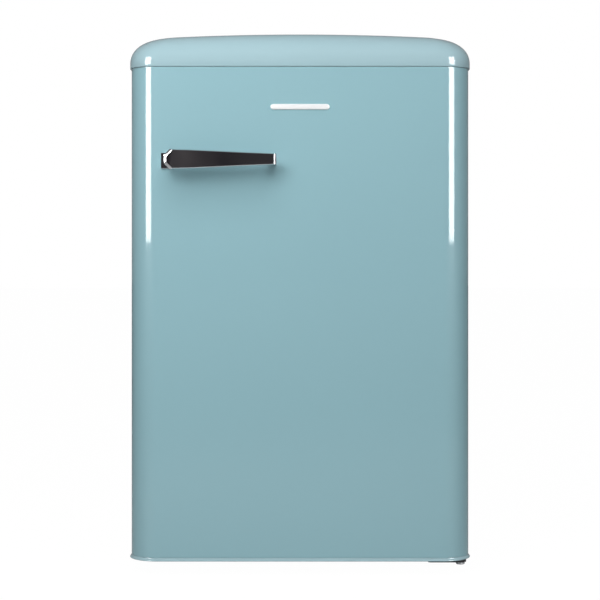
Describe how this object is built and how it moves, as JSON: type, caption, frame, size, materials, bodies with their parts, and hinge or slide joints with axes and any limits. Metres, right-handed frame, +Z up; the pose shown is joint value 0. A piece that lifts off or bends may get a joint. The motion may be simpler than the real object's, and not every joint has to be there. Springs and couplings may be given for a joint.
{
  "type": "retro under-counter refrigerator",
  "caption": "Retro under-counter refrigerator with a domed top cover, one rounded door with a tapered bow handle, an inner ice box with a flap, glass shelves, crisper and rear condenser.",
  "frame": {"origin": "on the floor, midway between the two sides and midway between the front of the handle and the back of the condenser", "axes": "+Z up; -Y is the front, where the door and handle are; +X is the hinge side, which is on the right for someone facing the door"},
  "size_m": [0.55, 0.615, 0.87],
  "materials": {
    "teal_paint": "glossy light teal-blue paint",
    "teal_plastic": "glossy light teal-blue moulding matching the paint",
    "chrome": "polished chrome",
    "white_plastic": "white vacuum-formed and moulded plastic, satin",
    "clear_plastic": "clear blue-grey moulding",
    "glass": "clear toughened glass with a green edge",
    "grey_rubber": "soft light grey seal",
    "black_rubber": "matt black rubber",
    "black_steel": "black stove enamel",
    "zinc_steel": "zinc-plated steel sheet",
    "ice_box_enamel": "white enamelled aluminium",
    "copper": "bare copper",
    "foam": "closed-cell insulation foam",
    "dark_plastic": "satin black plastic",
    "milky_plastic": "frosted warm white"
  },
  "bodies": {
    "cabinet": {"cabinet_wrap": "teal_paint", "cabinet_base": "zinc_steel", "back_panel": "zinc_steel", "bay_panel": "zinc_steel", "cabinet_foam": "foam", "inner_liner": "white_plastic", "top_cover": "teal_plastic", "cover_underplate": "white_plastic", "upper_hinge_plate": "zinc_steel", "upper_hinge_pin": "zinc_steel", "upper_hinge_screw_1": "zinc_steel", "upper_hinge_screw_2": "zinc_steel", "lower_hinge_plate": "black_steel", "lower_hinge_pin": "zinc_steel", "lower_hinge_screw_1": "zinc_steel", "lower_hinge_screw_2": "zinc_steel", "rear_foot_left": "dark_plastic", "rear_foot_right": "dark_plastic", "machine_plate": "zinc_steel", "compressor": "black_steel", "compressor_grommet_1": "black_rubber", "compressor_grommet_2": "black_rubber", "compressor_grommet_3": "black_rubber", "compressor_grommet_4": "black_rubber", "start_relay_box": "dark_plastic", "evaporation_tray": "dark_plastic", "filter_drier": "copper", "condenser_tube": "black_steel", "condenser_wires": "black_steel", "suction_line": "copper", "ice_box": "ice_box_enamel", "crisper_cover_glass": "glass", "crisper_cover_trim": "white_plastic", "lower_shelf_glass": "glass", "lower_shelf_trim": "white_plastic", "upper_shelf_glass": "glass", "upper_shelf_trim": "white_plastic", "control_housing": "white_plastic", "lamp_bulb": "milky_plastic", "lamp_lens": "clear_plastic"},
    "door": {"door_skin": "teal_paint", "door_top_cap": "teal_plastic", "door_bottom_cap": "teal_plastic", "door_foam": "foam", "door_liner": "white_plastic", "door_gasket": "grey_rubber", "door_handle": "chrome", "handle_screw_left": "zinc_steel", "handle_screw_right": "zinc_steel", "nameplate": "chrome", "bottle_balcony": "clear_plastic", "middle_balcony": "clear_plastic", "upper_balcony": "clear_plastic", "egg_tray": "white_plastic"},
    "freezer_flap": {"ice_box_door": "clear_plastic"},
    "crisper": {"crisper_drawer": "clear_plastic"},
    "knob": {"thermostat_knob": "white_plastic"},
    "light_switch": {"door_switch_button": "white_plastic"},
    "left_front_foot": {"front_foot_left": "dark_plastic"},
    "right_front_foot": {"front_foot_right": "dark_plastic"}
  },
  "joints": [
    {"name": "door_hinge", "type": "hinge", "parent": "cabinet", "child": "door", "pos_m": [0.2585, -0.2305, 0.4], "axis": [0, 0, 1], "range_deg": [0, 120]},
    {"name": "freezer_flap_hinge", "type": "hinge", "parent": "cabinet", "child": "freezer_flap", "pos_m": [0.208, -0.0835, 0.7], "axis": [0, 0, 1], "range_deg": [0, 90]},
    {"name": "crisper_slide", "type": "slide", "parent": "cabinet", "child": "crisper", "axis": [0, -1, 0], "range_m": [0, 0.2]},
    {"name": "thermostat_turn", "type": "hinge", "parent": "cabinet", "child": "knob", "pos_m": [0.2047, -0.063, 0.5768], "axis": [-1, 0, 0], "range_deg": [0, 270]},
    {"name": "light_switch_slide", "type": "slide", "parent": "cabinet", "child": "light_switch", "axis": [0, -1, 0], "range_m": [0, 0.006]},
    {"name": "left_foot_screw", "type": "slide", "parent": "cabinet", "child": "left_front_foot", "axis": [0, 0, -1], "range_m": [0, 0.012]},
    {"name": "right_foot_screw", "type": "slide", "parent": "cabinet", "child": "right_front_foot", "axis": [0, 0, -1], "range_m": [0, 0.012]}
  ],
  "couplings": [
    {"joint": "freezer_flap_hinge", "follows": "door_hinge", "ratio": 0.75},
    {"joint": "crisper_slide", "follows": "door_hinge", "m_per_rad": 0.0954},
    {"joint": "light_switch_slide", "follows": "door_hinge", "m_per_rad": 0.0028}
  ]
}
